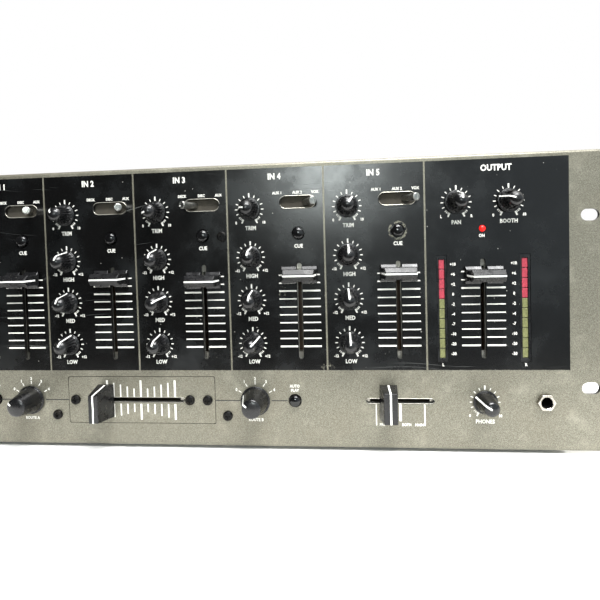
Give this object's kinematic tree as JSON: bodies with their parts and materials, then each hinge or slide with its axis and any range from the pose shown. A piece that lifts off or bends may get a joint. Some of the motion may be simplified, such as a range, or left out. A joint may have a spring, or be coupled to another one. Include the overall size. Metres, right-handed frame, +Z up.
{
  "type": "rack mount dj mixer",
  "caption": "Rack-mount DJ mixer with channel faders, tone knobs, source selector levers, crossfader, level meters and cue section.",
  "frame": {"origin": "centre of the bounding box's base, under the rubber feet", "axes": "+X to the right as the operator faces the panel, +Y from the operator into the case, +Z up the panel"},
  "size_m": [0.4826, 0.107, 0.179],
  "materials": {
    "panel_paint": "satin black field between silver bands",
    "case_paint": "fine textured black",
    "foot_rubber": "matt",
    "bare_steel": "plated",
    "control_shell": "satin",
    "meter_lens": "gloss",
    "board_laminate": "satin",
    "transformer_iron": "varnished laminations",
    "socket_plastic": "moulded",
    "black_screw": "black oxide",
    "knob_plastic": "moulded, fluted",
    "cap_plastic": "moulded",
    "lever_metal": "satin",
    "key_plastic": "gloss"
  },
  "bodies": {
    "chassis": {"front_panel": "panel_paint", "crossfader_plate": "panel_paint", "rear_housing": "case_paint", "top_cover": "case_paint", "feet": "foot_rubber", "fader_tracks": "bare_steel", "control_bodies": "control_shell", "level_meters": "meter_lens", "circuit_boards": "board_laminate", "power_transformer": "transformer_iron", "audio_sockets": "socket_plastic", "power_inlet": "socket_plastic", "screws": "black_screw"},
    "ch1_gain_knob": {"ch1_gain_knob": "knob_plastic"},
    "ch1_treble_knob": {"ch1_treble_knob": "knob_plastic"},
    "ch1_mid_knob": {"ch1_mid_knob": "knob_plastic"},
    "ch1_bass_knob": {"ch1_bass_knob": "knob_plastic"},
    "ch2_gain_knob": {"ch2_gain_knob": "knob_plastic"},
    "ch2_treble_knob": {"ch2_treble_knob": "knob_plastic"},
    "ch2_mid_knob": {"ch2_mid_knob": "knob_plastic"},
    "ch2_bass_knob": {"ch2_bass_knob": "knob_plastic"},
    "ch3_gain_knob": {"ch3_gain_knob": "knob_plastic"},
    "ch3_treble_knob": {"ch3_treble_knob": "knob_plastic"},
    "ch3_mid_knob": {"ch3_mid_knob": "knob_plastic"},
    "ch3_bass_knob": {"ch3_bass_knob": "knob_plastic"},
    "ch4_gain_knob": {"ch4_gain_knob": "knob_plastic"},
    "ch4_treble_knob": {"ch4_treble_knob": "knob_plastic"},
    "ch4_mid_knob": {"ch4_mid_knob": "knob_plastic"},
    "ch4_bass_knob": {"ch4_bass_knob": "knob_plastic"},
    "ch5_gain_knob": {"ch5_gain_knob": "knob_plastic"},
    "ch5_treble_knob": {"ch5_treble_knob": "knob_plastic"},
    "ch5_mid_knob": {"ch5_mid_knob": "knob_plastic"},
    "ch5_bass_knob": {"ch5_bass_knob": "knob_plastic"},
    "balance_knob": {"balance_knob": "knob_plastic"},
    "booth_knob": {"booth_knob": "knob_plastic"},
    "assign_a_knob": {"assign_a_knob": "knob_plastic"},
    "assign_b_knob": {"assign_b_knob": "knob_plastic"},
    "cue_level_knob": {"cue_level_knob": "knob_plastic"},
    "mic_level_knob": {"mic_level_knob": "knob_plastic"},
    "ch1_fader": {"ch1_fader": "cap_plastic"},
    "ch2_fader": {"ch2_fader": "cap_plastic"},
    "ch3_fader": {"ch3_fader": "cap_plastic"},
    "ch4_fader": {"ch4_fader": "cap_plastic"},
    "ch5_fader": {"ch5_fader": "cap_plastic"},
    "master_fader": {"master_fader": "cap_plastic"},
    "crossfader": {"crossfader": "cap_plastic"},
    "cue_mix_fader": {"cue_mix_fader": "cap_plastic"},
    "ch1_selector_lever": {"ch1_selector_lever": "lever_metal"},
    "ch2_selector_lever": {"ch2_selector_lever": "lever_metal"},
    "ch3_selector_lever": {"ch3_selector_lever": "lever_metal"},
    "ch4_selector_lever": {"ch4_selector_lever": "lever_metal"},
    "ch5_selector_lever": {"ch5_selector_lever": "lever_metal"},
    "ch1_cue_button": {"ch1_cue_button": "key_plastic"},
    "ch2_cue_button": {"ch2_cue_button": "key_plastic"},
    "ch3_cue_button": {"ch3_cue_button": "key_plastic"},
    "ch4_cue_button": {"ch4_cue_button": "key_plastic"},
    "ch5_cue_button": {"ch5_cue_button": "key_plastic"},
    "start_a_button": {"start_a_button": "key_plastic"},
    "start_b_button": {"start_b_button": "key_plastic"},
    "power_rocker": {"power_rocker": "key_plastic"}
  },
  "joints": [
    {"name": "ch1_gain_knob_turn", "type": "hinge", "parent": "chassis", "child": "ch1_gain_knob", "pos_m": [-0.147, -0.0355, 0.1512], "axis": [0, 1, 0], "range_deg": [-90, 210]},
    {"name": "ch1_treble_knob_turn", "type": "hinge", "parent": "chassis", "child": "ch1_treble_knob", "pos_m": [-0.147, -0.0355, 0.1215], "axis": [0, 1, 0], "range_deg": [-150, 150]},
    {"name": "ch1_mid_knob_turn", "type": "hinge", "parent": "chassis", "child": "ch1_mid_knob", "pos_m": [-0.147, -0.0355, 0.0947], "axis": [0, 1, 0], "range_deg": [-150, 150]},
    {"name": "ch1_bass_knob_turn", "type": "hinge", "parent": "chassis", "child": "ch1_bass_knob", "pos_m": [-0.147, -0.0355, 0.0679], "axis": [0, 1, 0], "range_deg": [-150, 150]},
    {"name": "ch2_gain_knob_turn", "type": "hinge", "parent": "chassis", "child": "ch2_gain_knob", "pos_m": [-0.087, -0.0355, 0.1512], "axis": [0, 1, 0], "range_deg": [-110, 190]},
    {"name": "ch2_treble_knob_turn", "type": "hinge", "parent": "chassis", "child": "ch2_treble_knob", "pos_m": [-0.087, -0.0355, 0.1215], "axis": [0, 1, 0], "range_deg": [-160, 140]},
    {"name": "ch2_mid_knob_turn", "type": "hinge", "parent": "chassis", "child": "ch2_mid_knob", "pos_m": [-0.087, -0.0355, 0.0947], "axis": [0, 1, 0], "range_deg": [-150, 150]},
    {"name": "ch2_bass_knob_turn", "type": "hinge", "parent": "chassis", "child": "ch2_bass_knob", "pos_m": [-0.087, -0.0355, 0.0679], "axis": [0, 1, 0], "range_deg": [-165, 135]},
    {"name": "ch3_gain_knob_turn", "type": "hinge", "parent": "chassis", "child": "ch3_gain_knob", "pos_m": [-0.027, -0.0355, 0.1512], "axis": [0, 1, 0], "range_deg": [-42, 258]},
    {"name": "ch3_treble_knob_turn", "type": "hinge", "parent": "chassis", "child": "ch3_treble_knob", "pos_m": [-0.027, -0.0355, 0.1215], "axis": [0, 1, 0], "range_deg": [-152, 148]},
    {"name": "ch3_mid_knob_turn", "type": "hinge", "parent": "chassis", "child": "ch3_mid_knob", "pos_m": [-0.027, -0.0355, 0.0947], "axis": [0, 1, 0], "range_deg": [-207, 93]},
    {"name": "ch3_bass_knob_turn", "type": "hinge", "parent": "chassis", "child": "ch3_bass_knob", "pos_m": [-0.027, -0.0355, 0.0679], "axis": [0, 1, 0], "range_deg": [-158, 142]},
    {"name": "ch4_gain_knob_turn", "type": "hinge", "parent": "chassis", "child": "ch4_gain_knob", "pos_m": [0.033, -0.0355, 0.1512], "axis": [0, 1, 0], "range_deg": [-65, 235]},
    {"name": "ch4_treble_knob_turn", "type": "hinge", "parent": "chassis", "child": "ch4_treble_knob", "pos_m": [0.033, -0.0355, 0.1215], "axis": [0, 1, 0], "range_deg": [-158, 142]},
    {"name": "ch4_mid_knob_turn", "type": "hinge", "parent": "chassis", "child": "ch4_mid_knob", "pos_m": [0.033, -0.0355, 0.0947], "axis": [0, 1, 0], "range_deg": [-156, 144]},
    {"name": "ch4_bass_knob_turn", "type": "hinge", "parent": "chassis", "child": "ch4_bass_knob", "pos_m": [0.033, -0.0355, 0.0679], "axis": [0, 1, 0], "range_deg": [-197, 103]},
    {"name": "ch5_gain_knob_turn", "type": "hinge", "parent": "chassis", "child": "ch5_gain_knob", "pos_m": [0.093, -0.0355, 0.1512], "axis": [0, 1, 0], "range_deg": [-182, 118]},
    {"name": "ch5_treble_knob_turn", "type": "hinge", "parent": "chassis", "child": "ch5_treble_knob", "pos_m": [0.093, -0.0355, 0.1215], "axis": [0, 1, 0], "range_deg": [-152, 148]},
    {"name": "ch5_mid_knob_turn", "type": "hinge", "parent": "chassis", "child": "ch5_mid_knob", "pos_m": [0.093, -0.0355, 0.0947], "axis": [0, 1, 0], "range_deg": [-147, 153]},
    {"name": "ch5_bass_knob_turn", "type": "hinge", "parent": "chassis", "child": "ch5_bass_knob", "pos_m": [0.093, -0.0355, 0.0679], "axis": [0, 1, 0], "range_deg": [-150, 150]},
    {"name": "balance_knob_turn", "type": "hinge", "parent": "chassis", "child": "balance_knob", "pos_m": [0.1573, -0.0355, 0.1512], "axis": [0, 1, 0], "range_deg": [-158, 142]},
    {"name": "booth_knob_turn", "type": "hinge", "parent": "chassis", "child": "booth_knob", "pos_m": [0.1873, -0.0355, 0.1512], "axis": [0, 1, 0], "range_deg": [-82, 218]},
    {"name": "assign_a_knob_turn", "type": "hinge", "parent": "chassis", "child": "assign_a_knob", "pos_m": [-0.1154, -0.0355, 0.0315], "axis": [0, 1, 0], "range_deg": [0, 120]},
    {"name": "assign_b_knob_turn", "type": "hinge", "parent": "chassis", "child": "assign_b_knob", "pos_m": [0.0334, -0.0355, 0.0315], "axis": [0, 1, 0], "range_deg": [0, 120]},
    {"name": "cue_level_knob_turn", "type": "hinge", "parent": "chassis", "child": "cue_level_knob", "pos_m": [0.1723, -0.0355, 0.0315], "axis": [0, 1, 0], "range_deg": [-90, 210]},
    {"name": "mic_level_knob_turn", "type": "hinge", "parent": "chassis", "child": "mic_level_knob", "pos_m": [-0.191, -0.0355, 0.1512], "axis": [0, 1, 0], "range_deg": [-40, 260]},
    {"name": "ch1_fader_slide", "type": "slide", "parent": "chassis", "child": "ch1_fader", "axis": [0, 0, 1], "range_m": [-0.045, 0]},
    {"name": "ch2_fader_slide", "type": "slide", "parent": "chassis", "child": "ch2_fader", "axis": [0, 0, 1], "range_m": [-0.045, 0]},
    {"name": "ch3_fader_slide", "type": "slide", "parent": "chassis", "child": "ch3_fader", "axis": [0, 0, 1], "range_m": [-0.0427, 0.0023]},
    {"name": "ch4_fader_slide", "type": "slide", "parent": "chassis", "child": "ch4_fader", "axis": [0, 0, 1], "range_m": [-0.045, 0]},
    {"name": "ch5_fader_slide", "type": "slide", "parent": "chassis", "child": "ch5_fader", "axis": [0, 0, 1], "range_m": [-0.045, 0]},
    {"name": "master_fader_slide", "type": "slide", "parent": "chassis", "child": "master_fader", "axis": [0, 0, 1], "range_m": [-0.0427, 0.0023]},
    {"name": "crossfader_slide", "type": "slide", "parent": "chassis", "child": "crossfader", "axis": [1, 0, 0], "range_m": [0, 0.045]},
    {"name": "cue_mix_fader_slide", "type": "slide", "parent": "chassis", "child": "cue_mix_fader", "axis": [1, 0, 0], "range_m": [-0.0078, 0.0222]},
    {"name": "ch1_selector_lever_swing", "type": "hinge", "parent": "chassis", "child": "ch1_selector_lever", "pos_m": [-0.117, -0.0235, 0.1545], "axis": [0, 0, 1], "range_deg": [-51, 0]},
    {"name": "ch2_selector_lever_swing", "type": "hinge", "parent": "chassis", "child": "ch2_selector_lever", "pos_m": [-0.057, -0.0235, 0.1545], "axis": [0, 0, 1], "range_deg": [-51, 0]},
    {"name": "ch3_selector_lever_swing", "type": "hinge", "parent": "chassis", "child": "ch3_selector_lever", "pos_m": [0.003, -0.0235, 0.1545], "axis": [0, 0, 1], "range_deg": [0, 51]},
    {"name": "ch4_selector_lever_swing", "type": "hinge", "parent": "chassis", "child": "ch4_selector_lever", "pos_m": [0.063, -0.0235, 0.1545], "axis": [0, 0, 1], "range_deg": [-51, 0]},
    {"name": "ch5_selector_lever_swing", "type": "hinge", "parent": "chassis", "child": "ch5_selector_lever", "pos_m": [0.123, -0.0235, 0.1545], "axis": [0, 0, 1], "range_deg": [-51, 0]},
    {"name": "ch1_cue_button_press", "type": "slide", "parent": "chassis", "child": "ch1_cue_button", "axis": [0, 1, 0], "range_m": [0, 0.0012], "stiffness_N_per_m": 400},
    {"name": "ch2_cue_button_press", "type": "slide", "parent": "chassis", "child": "ch2_cue_button", "axis": [0, 1, 0], "range_m": [0, 0.0012], "stiffness_N_per_m": 400},
    {"name": "ch3_cue_button_press", "type": "slide", "parent": "chassis", "child": "ch3_cue_button", "axis": [0, 1, 0], "range_m": [0, 0.0012], "stiffness_N_per_m": 400},
    {"name": "ch4_cue_button_press", "type": "slide", "parent": "chassis", "child": "ch4_cue_button", "axis": [0, 1, 0], "range_m": [0, 0.0012], "stiffness_N_per_m": 400},
    {"name": "ch5_cue_button_press", "type": "slide", "parent": "chassis", "child": "ch5_cue_button", "axis": [0, 1, 0], "range_m": [0, 0.0012], "stiffness_N_per_m": 400},
    {"name": "start_a_button_press", "type": "slide", "parent": "chassis", "child": "start_a_button", "axis": [0, 1, 0], "range_m": [0, 0.0012], "stiffness_N_per_m": 400},
    {"name": "start_b_button_press", "type": "slide", "parent": "chassis", "child": "start_b_button", "axis": [0, 1, 0], "range_m": [0, 0.0012], "stiffness_N_per_m": 400},
    {"name": "power_rocker_rock", "type": "hinge", "parent": "chassis", "child": "power_rocker", "pos_m": [-0.16, 0.0445, 0.134], "axis": [1, 0, 0], "range_deg": [0, 16]}
  ]
}
